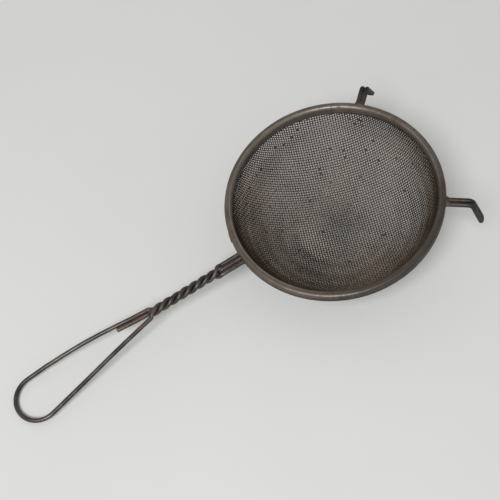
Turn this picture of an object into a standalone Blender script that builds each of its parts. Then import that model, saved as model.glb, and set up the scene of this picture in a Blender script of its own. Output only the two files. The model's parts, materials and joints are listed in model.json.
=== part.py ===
"""Hand flour sifter: a round wire-cloth bowl in a folded steel rim, with a twisted three-strand
wire handle ending in a hanging loop, and two hairpin rests opposite the handle.

Everything is modelled in the rim's own frame: the rim's top lies in the plane z = 0, its axis is
the Z axis, the handle runs toward -X and the rests point toward +X. The whole sieve hangs from
one empty, which tips it until the bowl's bottom and the end of the handle both touch the table.
"""

import math

import bmesh
import bpy
from mathutils import Matrix, Vector

MM = 0.001
GAP = 0.3 * MM

# Rim band: a steel strip folded into a round-topped channel.
RIM_RADIUS = 76.0 * MM
BAND_WIDTH = 5.3 * MM
BAND_SHEET = 0.45 * MM
BAND_INNER_LEG = 7.0 * MM
BAND_OUTER_LEG = 6.2 * MM
BAND_STEPS = 96
ARCH_STEPS = 8
SEAM_ANGLE = math.radians(168.0)
SEAM_WIDTH = 0.4 * MM

# Every wire has the same gauge and lies in one plane under the rim's top.
WIRE_DIAMETER = 3.0 * MM
WIRE_LEVEL = -3.4 * MM
WIRE_SPACING = WIRE_DIAMETER + GAP
HOOP_RADIUS = 73.7 * MM
HOOP_STEPS = 96
HOOP_END = math.radians(-179.5)
WIRE_END_RADIUS = 75.55 * MM

# Bowl of wire cloth: its outer profile below the rim, as radius and height.
CLOTH_THICKNESS = 0.5 * MM
CLOTH_EDGE = (71.9 * MM, -2.5 * MM)
BOWL_PROFILE = (
    (71.9 * MM, -7.0 * MM),
    (68.6 * MM, -15.0 * MM),
    (64.6 * MM, -23.0 * MM),
    (60.0 * MM, -29.2 * MM),
    (53.0 * MM, -36.0 * MM),
    (42.0 * MM, -43.2 * MM),
    (30.0 * MM, -48.2 * MM),
    (20.0 * MM, -50.3 * MM),
)
BOWL_DEPTH = 51.0 * MM
FLAT_RADIUS = 12.0 * MM
BOWL_STEPS = 80

# Handle: three strands side by side, then twisted, then the hanging loop.
HANDLE_OFFSET = -1.0 * MM
HANDLE_LEAN = 0.0286
RIM_BEND_RADIUS = 3.2 * MM
RIM_BEND_STEPS = 6
TWIST_START = -97.6 * MM
TWIST_END = -146.3 * MM
TWIST_LOBES = 7
TWIST_RADIUS = 2.02 * MM
TWIST_STEPS = 48
FAN_STEPS = 8

# At each end of the twist, by strand: where it is in the flat row, where it is in the twist, how far
# it turns between the two beside the twist's own turn, and how far it is lifted to clear the others.
RIM_GATHERS = {
    "hoop": (-90.9 * MM, -97.2 * MM, math.radians(-81.0), 0.66 * MM),
    "down": (-92.2 * MM, -97.6 * MM, math.radians(-69.0), -1.0 * MM),
    "back": (-93.3 * MM, -99.5 * MM, math.radians(-66.0), -0.8 * MM),
}
LOOP_GATHERS = {
    "hoop": (-150.0 * MM, -145.2 * MM, math.radians(3.0), 0.0),
    "down": (-150.0 * MM, -145.2 * MM, math.radians(11.0), 0.0),
    "back": (-150.0 * MM, -145.2 * MM, math.radians(33.0), 0.55 * MM),
}
TWIST_PHASES = {"hoop": math.tau / 3, "down": 0.0, "back": 2 * math.tau / 3}
TAIL_SIDE = 0.2 * MM
LEG_STEPS = 3
UPPER_LEG = (
    (-160.0 * MM, 5.5 * MM),
    (-172.0 * MM, 7.0 * MM),
    (-185.0 * MM, 8.4 * MM),
    (-198.0 * MM, 9.4 * MM),
    (-212.0 * MM, 10.1 * MM),
    (-226.0 * MM, 10.3 * MM),
)
TAIL_LEG = (
    (-160.0 * MM, 2.2 * MM),
    (-172.0 * MM, 3.7 * MM),
)
LOWER_LEG_BEND = (-160.0 * MM, -4.3 * MM)
LOOP_CENTRE = (-239.5 * MM, -6.2 * MM)
LOOP_RADIUS = 15.6 * MM
LOOP_FROM = math.radians(94.0)
LOOP_TO = math.radians(282.9)
LOOP_STEPS = 20

# Rests: hairpins of the same wire. Angle round the rim, bend below the rim's plane, reach of the tip.
REST_CORNER = 93.0 * MM
REST_BEND_RADIUS = 4.0 * MM
REST_BEND_STEPS = 6
REST_TIP_STEPS = 8
RESTS = {
    "left": (math.radians(41.3), math.radians(66.0), 18.3 * MM),
    "right": (math.radians(-40.5), math.radians(72.0), 21.0 * MM),
}

# Solder: a collar round each rest, and a pad under the handle's wires.
COLLAR_SIZE = (3.3 * MM, 5.4 * MM, 2.7 * MM)
PAD_SIZE = (5.6 * MM, 9.0 * MM, 1.4 * MM)
PAD_CENTRE = (-75.6 * MM, -1.0 * MM, -5.95 * MM)
PAD_ROUNDING = 0.56 * MM

# Notches in the rim's outer side, where the wires come through.
NOTCH_TOP = -1.6 * MM
NOTCH_REACH = (74.9 * MM, 80.0 * MM)
NOTCH_BEND_ROOM = 1.3 * MM

STEEPEST_TILT = math.radians(30.0)
TILT_HALVINGS = 60


def clear_scene():
    for thing in list(bpy.data.objects):
        bpy.data.objects.remove(thing, do_unlink=True)


def new_collection(name):
    collection = bpy.data.collections.new(name)
    bpy.context.scene.collection.children.link(collection)
    return collection


def steel(name, colour, roughness, metallic=0.9):
    material = bpy.data.materials.new(name)
    material.use_nodes = True
    shader = material.node_tree.nodes["Principled BSDF"]
    shader.inputs["Base Color"].default_value = (*colour, 1.0)
    shader.inputs["Roughness"].default_value = roughness
    shader.inputs["Metallic"].default_value = metallic
    material.diffuse_color = (*colour, 1.0)
    return material


def add_object(name, data, collection, frame):
    thing = bpy.data.objects.new(name, data)
    collection.objects.link(thing)
    thing.parent = frame
    return thing


def make_cutter(thing):
    thing.hide_render = True
    thing.display_type = "WIRE"
    return thing


def cut(thing, cutter, name):
    boolean = thing.modifiers.new(name, "BOOLEAN")
    boolean.operation = "DIFFERENCE"
    boolean.solver = "EXACT"
    boolean.object = cutter


def box_cutter(name, low, high, angle, collection, frame):
    """A box between two corners, turned round the rim's axis."""
    mesh = bpy.data.meshes.new(name)
    shape = bmesh.new()
    bmesh.ops.create_cube(shape, size=1.0)
    size = Vector(high) - Vector(low)
    centre = (Vector(high) + Vector(low)) / 2
    bmesh.ops.transform(
        shape, matrix=Matrix.Translation(centre) @ Matrix.Diagonal((*size, 1.0)), verts=shape.verts
    )
    shape.to_mesh(mesh)
    shape.free()
    cutter = add_object(name, mesh, collection, frame)
    cutter.rotation_euler.z = angle
    return make_cutter(cutter)


def turned(name, profile, steps, collection, frame, closed):
    """A profile of (radius, height) points swept round the Z axis."""
    mesh = bpy.data.meshes.new(name)
    edges = [(i, i + 1) for i in range(len(profile) - 1)]
    if closed:
        edges.append((len(profile) - 1, 0))
    mesh.from_pydata([(radius, 0.0, height) for radius, height in profile], edges, [])
    thing = add_object(name, mesh, collection, frame)
    screw = thing.modifiers.new("Turn", "SCREW")
    screw.axis = "Z"
    screw.angle = math.tau
    screw.steps = steps
    screw.render_steps = steps
    screw.use_merge_vertices = True
    screw.merge_threshold = 0.00001
    return thing


def wire(name, points, collection, frame):
    """A wire through the points, as a curve with a round bevel and flat cut ends."""
    curve = bpy.data.curves.new(name, "CURVE")
    curve.dimensions = "3D"
    curve.bevel_depth = WIRE_DIAMETER / 2
    curve.bevel_resolution = 2
    curve.render_resolution_u = 0
    curve.use_fill_caps = True
    curve.twist_mode = "MINIMUM"
    spline = curve.splines.new("POLY")
    spline.points.add(len(points) - 1)
    for spot, place in zip(spline.points, points):
        spot.co = (*place, 1.0)
    spline.use_smooth = True
    return add_object(name, curve, collection, frame)


def arc(centre, radius, start, end, steps):
    """Points of an arc in the plane of the wires, from one angle to another."""
    points = []
    for i in range(steps + 1):
        angle = start + (end - start) * i / steps
        x = centre[0] + radius * math.cos(angle)
        y = centre[1] + radius * math.sin(angle)
        points.append(Vector((x, y, WIRE_LEVEL)))
    return points


def through(points, steps):
    """A smooth path through the points, with the given number of steps between each two."""
    ends = [points[0] * 2 - points[1], *points, points[-1] * 2 - points[-2]]
    path = []
    for i in range(1, len(ends) - 2):
        before, start, end, after = ends[i - 1:i + 3]
        for k in range(steps):
            t = k / steps
            bend = (before * 2 - start * 5 + end * 4 - after) * t * t
            turn = (start * 3 - before - end * 3 + after) * t * t * t
            path.append((start * 2 + (end - before) * t + bend + turn) / 2)
    path.append(points[-1])
    return path


# The rim -------------------------------------------------------------------------------------


def band_profile():
    """The channel's section, down its outer side, round the lips and back up inside the fold."""
    middle = RIM_RADIUS - BAND_WIDTH / 2
    outer = BAND_WIDTH / 2
    inner = outer - BAND_SHEET
    over = []
    under = []
    for i in range(ARCH_STEPS + 1):
        angle = math.pi - math.pi * i / ARCH_STEPS
        over.append((middle + outer * math.cos(angle), outer * (math.sin(angle) - 1)))
        under.append((middle + inner * math.cos(angle), inner * math.sin(angle) - outer))
    lip = [
        (RIM_RADIUS, -BAND_OUTER_LEG),
        (RIM_RADIUS - BAND_SHEET, -BAND_OUTER_LEG),
    ]
    foot = [
        (RIM_RADIUS - BAND_WIDTH + BAND_SHEET, -BAND_INNER_LEG),
        (RIM_RADIUS - BAND_WIDTH, -BAND_INNER_LEG),
    ]
    return over + lip + under[::-1] + foot


def rim_band(parts, cutters, frame):
    band = turned("rim_band", band_profile(), BAND_STEPS, parts, frame, closed=True)
    band.data.materials.append(steel("rim_steel", (0.20, 0.19, 0.17), 0.42))
    near, far = NOTCH_REACH
    side = WIRE_SPACING / 2 + WIRE_DIAMETER / 2 + GAP
    for name, (angle, _, _) in RESTS.items():
        low = (near, -side, -2 * BAND_OUTER_LEG)
        high = (far, side, NOTCH_TOP)
        cut(band, box_cutter(f"notch_rest_{name}", low, high, angle, cutters, frame), f"Notch {name}")
    strands = WIRE_SPACING + WIRE_DIAMETER / 2 + GAP
    low = (-far, HANDLE_OFFSET - strands, -2 * BAND_OUTER_LEG)
    high = (-near, HANDLE_OFFSET + strands + NOTCH_BEND_ROOM, NOTCH_TOP)
    cut(band, box_cutter("notch_handle", low, high, 0.0, cutters, frame), "Notch handle")
    low = (RIM_RADIUS - 2 * BAND_WIDTH, -SEAM_WIDTH / 2, -2 * BAND_INNER_LEG)
    high = (RIM_RADIUS + BAND_WIDTH, SEAM_WIDTH / 2, BAND_WIDTH)
    cut(band, box_cutter("seam_slit", low, high, SEAM_ANGLE, cutters, frame), "Seam")
    return band


def bowl_outline():
    """Outer side of the cloth from its edge under the rim to the middle of the flat bottom."""
    flat = [(FLAT_RADIUS, -BOWL_DEPTH), (0.0, -BOWL_DEPTH)]
    return [CLOTH_EDGE, *BOWL_PROFILE, *flat]


def mesh_bowl(parts, frame):
    bowl = turned("mesh_bowl", bowl_outline(), BOWL_STEPS, parts, frame, closed=False)
    bowl.data.materials.append(steel("cloth_steel", (0.17, 0.155, 0.135), 0.5))
    shell = bowl.modifiers.new("Cloth", "SOLIDIFY")
    shell.thickness = CLOTH_THICKNESS
    shell.offset = -1.0
    shell.use_even_offset = True
    return bowl


# The handle ----------------------------------------------------------------------------------


def handle_line(x):
    """Sideways place of the handle's middle line, which leans a little off the rim's axis."""
    return HANDLE_OFFSET - (x + RIM_RADIUS) * HANDLE_LEAN


def twist_angle(name, x):
    """Turn of a strand round the twist's middle line at x."""
    return TWIST_PHASES[name] + math.tau * TWIST_LOBES / 3 * (x - TWIST_START) / (TWIST_END - TWIST_START)


def gather(name, place, side):
    """One strand from its place in the flat row of three to its place in the twist."""
    x_row, x_twist, early_turn, lift = place
    points = []
    for i in range(FAN_STEPS + 1):
        t = i / FAN_STEPS
        x = x_row + (x_twist - x_row) * t
        angle = twist_angle(name, x_twist) + early_turn * (1 - t)
        ease = t * t * (3 - 2 * t)
        y = side * (1 - ease) + TWIST_RADIUS * math.cos(angle) * ease
        z = TWIST_RADIUS * math.sin(angle) * (1 - (1 - t) ** 3) + lift * math.sin(math.pi * t) ** 2
        points.append(Vector((x, handle_line(x) + y, WIRE_LEVEL + z)))
    return points


def twisted_strand(name, rim_side, loop_side):
    """One strand from the straight row at the rim, through the left-handed twist, to the loop."""
    at_rim, at_loop = RIM_GATHERS[name], LOOP_GATHERS[name]
    points = gather(name, at_rim, rim_side)
    for i in range(1, TWIST_STEPS):
        x = at_rim[1] + (at_loop[1] - at_rim[1]) * i / TWIST_STEPS
        y = handle_line(x) + TWIST_RADIUS * math.cos(twist_angle(name, x))
        z = WIRE_LEVEL + TWIST_RADIUS * math.sin(twist_angle(name, x))
        points.append(Vector((x, y, z)))
    return points + gather(name, at_loop, loop_side)[::-1]


def strand_start(side):
    """Where a strand of the straight row meets the outside of the hoop."""
    y = HANDLE_OFFSET + side
    return Vector((-math.sqrt(WIRE_END_RADIUS ** 2 - y ** 2), y, WIRE_LEVEL))


def leg(points):
    return [Vector((x, y, WIRE_LEVEL)) for x, y in points]


def hoop_route():
    """From the cut end beside the loop, through the twist to the rim, then once round the rim."""
    strand = twisted_strand("hoop", WIRE_SPACING, TAIL_SIDE)
    tail = through([strand[-1], *leg(TAIL_LEG)], LEG_STEPS)[::-1]
    bend_y = HANDLE_OFFSET + WIRE_SPACING + RIM_BEND_RADIUS
    bend_reach = HOOP_RADIUS + RIM_BEND_RADIUS
    bend_centre = (-math.sqrt(bend_reach ** 2 - bend_y ** 2), bend_y)
    join = math.atan2(bend_centre[1], bend_centre[0])
    bend = arc(bend_centre, RIM_BEND_RADIUS, -math.pi / 2, join - math.pi, RIM_BEND_STEPS)
    ring = arc((0.0, 0.0), HOOP_RADIUS, join, HOOP_END, HOOP_STEPS)
    return tail[:-1] + strand[::-1] + bend + ring[1:]


def hoop_wire(parts, frame):
    hoop = wire("hoop_wire", hoop_route(), parts, frame)
    hoop.data.materials.append(steel("hoop_wire_steel", (0.17, 0.15, 0.13), 0.5))
    return hoop


def loop_route():
    """From the hoop down the middle strand, round the hanging loop and back up the last strand."""
    down = twisted_strand("down", 0.0, -WIRE_SPACING)
    back = twisted_strand("back", -WIRE_SPACING, WIRE_SPACING)
    end = arc(LOOP_CENTRE, LOOP_RADIUS, LOOP_FROM, LOOP_TO, LOOP_STEPS)
    upper = through([back[-1], *leg(UPPER_LEG), end[0]], LEG_STEPS)
    lower = through([end[-1], *leg([LOWER_LEG_BEND]), down[-1]], LEG_STEPS + 1)
    start = [strand_start(0.0)]
    finish = [strand_start(-WIRE_SPACING)]
    return start + down[:-1] + lower[::-1] + end[-2:0:-1] + upper[::-1] + back[-2::-1] + finish


def handle_wire(parts, frame):
    handle = wire("handle_wire", loop_route(), parts, frame)
    handle.data.materials.append(steel("handle_wire_steel", (0.18, 0.17, 0.15), 0.48))
    return handle


# The rests -----------------------------------------------------------------------------------


def rest_leg(bend, reach):
    """Middle line of one leg of a hairpin, as distances out from the axis and heights."""
    setback = REST_BEND_RADIUS * math.tan(bend / 2)
    line = [(WIRE_END_RADIUS, 0.0)]
    for i in range(REST_BEND_STEPS + 1):
        angle = bend * i / REST_BEND_STEPS
        out = REST_CORNER - setback + REST_BEND_RADIUS * math.sin(angle)
        line.append((out, -REST_BEND_RADIUS * (1 - math.cos(angle))))
    line.append((REST_CORNER + reach * math.cos(bend), -reach * math.sin(bend)))
    return line


def rest_route(bend, reach):
    """Out along one leg, round the closed tip, and back along the other."""
    half = WIRE_SPACING / 2
    line = rest_leg(bend, reach)
    out = [Vector((x, half, z)) for x, z in line]
    back = [Vector((x, -half, z)) for x, z in reversed(line)]
    tip_x, tip_z = line[-1]
    tip = []
    for i in range(1, REST_TIP_STEPS):
        angle = math.pi * i / REST_TIP_STEPS
        ahead = half * math.sin(angle)
        x = tip_x + ahead * math.cos(bend)
        z = tip_z - ahead * math.sin(bend)
        tip.append(Vector((x, half * math.cos(angle), z)))
    return [point + Vector((0.0, 0.0, WIRE_LEVEL)) for point in out + tip + back]


def rest_wire(name, parts, frame):
    angle, bend, reach = RESTS[name]
    rest = wire(f"rest_wire_{name}", rest_route(bend, reach), parts, frame)
    rest.rotation_euler.z = angle
    rest.data.materials.append(steel(f"rest_{name}_steel", (0.14, 0.13, 0.12), 0.5))
    return rest


def rest_solder(name, parts, cutters, frame):
    """A collar of solder round the two legs where they leave the rim."""
    angle = RESTS[name][0]
    mesh = bpy.data.meshes.new(f"solder_rest_{name}")
    shape = bmesh.new()
    bmesh.ops.create_uvsphere(shape, u_segments=20, v_segments=10, radius=1.0)
    bmesh.ops.transform(shape, matrix=Matrix.Diagonal((*COLLAR_SIZE, 1.0)), verts=shape.verts)
    bmesh.ops.translate(shape, vec=(RIM_RADIUS, 0.0, WIRE_LEVEL), verts=shape.verts)
    shape.to_mesh(mesh)
    shape.free()
    mesh.shade_smooth()
    mesh.materials.append(steel(f"solder_{name}", (0.24, 0.20, 0.18), 0.55))
    collar = add_object(f"solder_rest_{name}", mesh, parts, frame)
    collar.rotation_euler.z = angle
    cut(collar, rim_clearance(name, cutters, frame), "Rim")
    for side in (-1, 1):
        cut(collar, leg_clearance(name, side, angle, cutters, frame), f"Leg {side}")
    return collar


def rim_clearance(name, cutters, frame):
    mesh = bpy.data.meshes.new(f"rim_clearance_{name}")
    shape = bmesh.new()
    bmesh.ops.create_cone(
        shape,
        cap_ends=True,
        segments=2 * BAND_STEPS,
        radius1=RIM_RADIUS + GAP,
        radius2=RIM_RADIUS + GAP,
        depth=4 * BAND_INNER_LEG,
    )
    shape.to_mesh(mesh)
    shape.free()
    return make_cutter(add_object(f"rim_clearance_{name}", mesh, cutters, frame))


def leg_clearance(name, side, angle, cutters, frame):
    """A round passage a little wider than one leg."""
    mesh = bpy.data.meshes.new(f"leg_clearance_{name}_{side}")
    shape = bmesh.new()
    radius = WIRE_DIAMETER / 2 + GAP
    bmesh.ops.create_cone(
        shape, cap_ends=True, segments=16, radius1=radius, radius2=radius, depth=6 * WIRE_DIAMETER
    )
    bmesh.ops.rotate(shape, matrix=Matrix.Rotation(math.pi / 2, 3, "Y"), verts=shape.verts)
    place = (RIM_RADIUS, side * WIRE_SPACING / 2, WIRE_LEVEL)
    bmesh.ops.translate(shape, vec=place, verts=shape.verts)
    shape.to_mesh(mesh)
    shape.free()
    passage = add_object(f"leg_clearance_{name}_{side}", mesh, cutters, frame)
    passage.rotation_euler.z = angle
    return make_cutter(passage)


def handle_solder(parts, frame):
    """A low pad of solder under the three wires, where they meet the hoop."""
    mesh = bpy.data.meshes.new("solder_handle")
    shape = bmesh.new()
    bmesh.ops.create_cube(shape, size=1.0)
    place = Matrix.Translation(PAD_CENTRE) @ Matrix.Diagonal((*PAD_SIZE, 1.0))
    bmesh.ops.transform(shape, matrix=place, verts=shape.verts)
    shape.to_mesh(mesh)
    shape.free()
    mesh.materials.append(steel("solder_handle", (0.24, 0.20, 0.18), 0.55))
    pad = add_object("solder_handle", mesh, parts, frame)
    rounding = pad.modifiers.new("Rounding", "BEVEL")
    rounding.width = PAD_ROUNDING
    rounding.segments = 3
    return pad


# Standing the sieve on the table ------------------------------------------------------------


def bowl_low_point(tilt):
    """Height of the bowl's lowest point under the rim's centre, with the handle end tipped down."""
    return min(height * math.cos(tilt) - radius * math.sin(tilt) for radius, height in bowl_outline())


def handle_low_point(tilt):
    reach = LOOP_RADIUS - LOOP_CENTRE[0]
    return WIRE_LEVEL * math.cos(tilt) - reach * math.sin(tilt) - WIRE_DIAMETER / 2


def resting_tilt():
    """The tilt at which the bowl and the handle end touch the table together."""
    flat, steep = 0.0, STEEPEST_TILT
    for _ in range(TILT_HALVINGS):
        middle = (flat + steep) / 2
        if handle_low_point(middle) > bowl_low_point(middle):
            flat = middle
        else:
            steep = middle
    return (flat + steep) / 2


def bounds(parts):
    """World box of the finished pieces."""
    bpy.context.view_layer.update()
    graph = bpy.context.evaluated_depsgraph_get()
    corners = []
    for thing in parts.objects:
        shown = thing.evaluated_get(graph)
        mesh = shown.to_mesh()
        corners += [shown.matrix_world @ vertex.co for vertex in mesh.vertices]
        shown.to_mesh_clear()
    low = Vector([min(corner[i] for corner in corners) for i in range(3)])
    high = Vector([max(corner[i] for corner in corners) for i in range(3)])
    return low, high


def stand_on_table(parts, frame):
    """Tip the sieve onto its handle and put the origin under the middle of its box."""
    frame.rotation_euler.y = -resting_tilt()
    low, high = bounds(parts)
    middle = (low + high) / 2
    frame.location = (-middle.x, -middle.y, -low.z)
    bpy.context.view_layer.update()


def main():
    clear_scene()
    parts = new_collection("hand_flour_sifter")
    cutters = new_collection("cutters")
    frame = bpy.data.objects.new("rim_frame", None)
    bpy.context.scene.collection.objects.link(frame)
    rim_band(parts, cutters, frame)
    mesh_bowl(parts, frame)
    hoop_wire(parts, frame)
    handle_wire(parts, frame)
    handle_solder(parts, frame)
    for name in RESTS:
        rest_wire(name, parts, frame)
        rest_solder(name, parts, cutters, frame)
    stand_on_table(parts, frame)


main()
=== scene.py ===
"""Looks of the hand flour sifter: woven cloth bowl, folded rim, twisted wire handle and rests.

Pieces are shaped in the rim's own frame, where the rim's top is the plane z = 0, its axis is Z and
the handle runs toward -X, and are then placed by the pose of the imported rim.
"""

import json
import math

import bpy
import numpy as np
from mathutils import Matrix, Vector


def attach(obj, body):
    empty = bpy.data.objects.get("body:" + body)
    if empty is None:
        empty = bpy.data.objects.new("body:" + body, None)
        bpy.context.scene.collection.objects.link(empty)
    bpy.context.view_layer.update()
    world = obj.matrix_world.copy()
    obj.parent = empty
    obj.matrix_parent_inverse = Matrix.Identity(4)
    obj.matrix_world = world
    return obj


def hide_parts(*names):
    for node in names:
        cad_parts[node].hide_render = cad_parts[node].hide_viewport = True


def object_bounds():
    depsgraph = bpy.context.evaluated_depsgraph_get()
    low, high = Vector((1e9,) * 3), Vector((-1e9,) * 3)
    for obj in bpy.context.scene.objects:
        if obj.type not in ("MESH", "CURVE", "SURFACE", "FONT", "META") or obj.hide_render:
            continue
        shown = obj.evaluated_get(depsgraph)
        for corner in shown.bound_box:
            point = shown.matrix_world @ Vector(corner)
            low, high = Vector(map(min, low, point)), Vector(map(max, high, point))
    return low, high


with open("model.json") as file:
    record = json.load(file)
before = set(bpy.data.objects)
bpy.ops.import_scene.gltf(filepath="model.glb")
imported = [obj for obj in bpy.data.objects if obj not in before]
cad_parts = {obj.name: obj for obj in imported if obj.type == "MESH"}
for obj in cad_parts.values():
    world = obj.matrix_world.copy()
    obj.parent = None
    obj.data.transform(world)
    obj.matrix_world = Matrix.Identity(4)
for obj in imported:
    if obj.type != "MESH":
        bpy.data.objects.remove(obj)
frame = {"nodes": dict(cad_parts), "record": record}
cad_low, cad_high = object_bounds()

MM = 0.001
SEED = 7

# Camera, in metres. Its lens and sensor are in millimetres.
CAMERA_LENS = 64.8
CAMERA_SENSOR = 36.0
CAMERA_DISTANCE = 656.8 * MM
CAMERA_AIM = Vector((30.0, 19.5, 0.0)) * MM
CAMERA_AZIMUTH = math.radians(-31.02)
CAMERA_ELEVATION = math.radians(58.94)
CAMERA_ROLL = math.radians(-0.60)

# Light, in metres: one large soft lamp, high on the handle's side, and an even room.
LAMP_PLACE = (-1.44, -1.02, 2.43)
LAMP_AIM = (0.03, 0.0, 0.0)
LAMP_SIZE = 1.25
LAMP_POWER = 68.0
LAMP_COLOUR = (1.0, 0.99, 0.97)
ROOM_COLOUR = (1.0, 0.985, 0.965)
ROOM_STRENGTH = 0.40

# From here down all sizes are in millimetres, in the rim's own frame.

# Rim band: section of the folded strip, the lap at its seam and the notches for the wires.
RIM_RADIUS = 76.0
BAND_WIDTH = 5.3
BAND_SHEET = 0.45
BAND_INNER_LEG = 7.8
BAND_OUTER_LEG = 6.2
BAND_ARCH_POINTS = 16
OUTER_LEG_POINTS = (1.0, 0.85, 0.55, 0.25)
INNER_LEG_POINTS = (0.3, 0.6, 0.85, 0.97)
BAND_CORNER_POWER = 2.5
BAND_STATIONS = 420
LAP_ANGLE = math.radians(166.6)
LAP_LENGTH = math.radians(2.6)
LAP_RISE = 0.42
BAND_DROP = 0.2
NOTCH_LIFT = 4.6
NOTCH_EASE = 0.35
NOTCH_GAP = 0.3
NOTCH_BEND_ROOM = 1.3
NOTCH_STEPS = 7

# How the rim departs from a true circle: waves in and out and up and down, and a slight oval.
RIM_WAVES = range(2, 24)
RIM_SWAY = 0.10
RIM_LIFT = 0.06
RIM_OVAL_MEAN = 0.2
RIM_OVAL_SWING = 0.3
RIM_OVAL_ANGLE = math.radians(5.0)
RIM_MARKS = tuple(math.radians(angle) for angle in (56.8, -124.3, 18.7))

# Wires. Rounding of a cut end: how far in from the end, and the share of the full radius there.
STRAIGHT_STEP = 5.0
SPLINE_STEPS = 16
WIRE_RADIUS = 1.5
WIRE_SIDES = 16
WIRE_POINT_SPACING = 0.9
WIRE_END_ROUNDING = ((0.0, 0.80), (0.12, 0.93))
WOBBLE_WAVES = 4
WOBBLE_FADE = 8.0
WIRE_LEVEL = -3.4
WIRE_SPACING = 3.3
HOOP_RADIUS = 73.7
HOOP_END = math.radians(-179.5)
HOOP_STEPS = 120
WIRE_END_RADIUS = 75.3

# Cloth: middle of its thickness as radius and height, from the pole of the bowl outward.
CLOTH_PROFILE = (
    (0.0, -50.4),
    (6.0, -50.38),
    (12.0, -50.33),
    (19.95, -49.66),
    (29.8, -47.6),
    (41.68, -42.63),
    (52.55, -35.5),
    (59.5, -28.8),
    (64.05, -22.65),
    (68.0, -14.75),
    (71.2, -7.4),
    (71.6, -5.5),
    (71.65, -2.0),
    (71.65, 4.0),
    (71.65, 12.0),
)

# The two families of wires in it: how they run, where they are cut off, their pitch, the radius of a
# wire, how far it weaves out of the middle, and how many wires either side of the pole.
WARP_ANGLE = math.radians(69.0)
WEFT_ANGLE = math.radians(-23.5)
CLOTH_TOP = -3.0
CLOTH_PITCH = 1.87
CLOTH_RADIUS = 0.36
CLOTH_CRIMP = 0.31
CLOTH_REACH = 58
CLOTH_SIDES = 6

# Shares of the pitch: the widest diagonal of a cell, and the shortest end that a wire keeps.
WIDEST_CELL = 1.96
SHORTEST_END = 0.3
SURFACE_STEPS = 7
PROFILE_STEP = 0.4

# Dried flour: places of the larger lumps in the bowl, then the number and the size of the small ones
# near the rim and further in, and where the wires are thick with it (place, reach, share).
RESIDUE_SPOTS = (
    (6.3, 66.9), (-34.5, 38.3), (-44.9, -7.9), (-46.7, 21.0), (55.1, 31.0), (51.8, 45.5), (54.1, 43.6),
    (49.7, 46.5), (19.9, -26.5), (21.4, -27.3), (59.8, 9.6), (50.2, 19.8), (13.6, 67.3), (27.5, 48.9),
    (12.9, 43.4), (13.0, 41.0), (35.9, 42.7), (34.5, 38.6), (-4.7, 30.3), (15.3, 32.9), (-12.3, 3.6),
    (-33.7, -0.1), (-9.7, -29.1), (47.6, 32.3), (52.1, -10.7), (-40.5, 50.8), (-30.2, 57.5), (-24.4, 59.8),
    (-49.4, 42.1), (-6.9, 65.8), (-1.4, 66.0), (64.2, -2.8), (70.1, -0.9),
)
RESIDUE_SEED = SEED + 50
RESIDUE_SIZES = (0.5, 0.72)
RESIDUE_HEIGHT = 0.42
RESIDUE_BORDER = -17.0
RESIDUE_AT_RIM = (9, 0.45)
RESIDUE_INSIDE = (12, 0.4)
CLOG_AT_RIM = 0.16
CLOG_SPOTS = (
    ((-22.0, -3.0, -49.7), 17.0, 0.26),
    ((3.0, 6.0, -50.5), 12.0, 0.14),
    ((-47.0, 17.0, -37.0), 16.0, 0.12),
    ((4.0, -54.0, -35.0), 20.0, 0.1),
    ((-46.0, 45.0, -25.0), 18.0, 0.1),
)

# Handle: three strands side by side, then twisted, then the hanging loop.
HANDLE_OFFSET = -1.0
HANDLE_LEAN = 0.0286
RIM_BEND_RADIUS = 3.2
RIM_BEND_STEPS = 8
TWIST_START = -97.6
TWIST_END = -146.3
TWIST_LOBES = 7
TWIST_RADIUS = 1.97
TWIST_STEPS = 64
FAN_STEPS = 8

# At each end of the twist, by strand: where it is in the flat row, where it is in the twist, how far
# it turns between the two beside the twist's own turn, and how far it is lifted to clear the others.
RIM_GATHERS = {
    "hoop": (-90.9, -97.2, math.radians(-81.0), 0.66),
    "down": (-92.2, -97.6, math.radians(-69.0), -1.0),
    "back": (-93.3, -99.5, math.radians(-66.0), -0.8),
}
LOOP_GATHERS = {
    "hoop": (-150.0, -145.2, math.radians(3.0), 0.0),
    "down": (-150.0, -145.2, math.radians(11.0), 0.0),
    "back": (-150.0, -145.2, math.radians(33.0), 0.55),
}
TWIST_PHASES = {"hoop": math.tau / 3, "down": 0.0, "back": 2 * math.tau / 3}
TAIL_SIDE = 0.2
UPPER_LEG = ((-160.0, 5.5), (-172.0, 7.0), (-185.0, 8.4), (-198.0, 9.4), (-212.0, 10.1), (-226.0, 10.3))
TAIL_LEG = ((-160.0, 2.2), (-173.2, 3.8))
LOWER_LEG_BEND = (-160.0, -4.3)
LOOP_CENTRE = (-239.5, -6.2)
LOOP_RADIUS = 15.6
LOOP_FROM = math.radians(94.0)
LOOP_TO = math.radians(282.9)
LOOP_STEPS = 24

# Rests: angle round the rim, distance of the corner, bend below the rim's plane, reach past the
# corner, and sideways lean.
REST_RADIUS = 1.66
REST_SPACING = 3.36
REST_TIP_SPREAD = 0.3
REST_BEND_RADIUS = 4.0
REST_BEND_STEPS = 8
REST_TIP_STEPS = 9
REST_POINT_SPACING = 0.7
RESTS = {
    "left": (math.radians(41.3), 91.5, math.radians(66.0), 17.0, -1.3),
    "right": (math.radians(-40.15), 93.2, math.radians(72.0), 22.4, 0.0),
}

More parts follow.
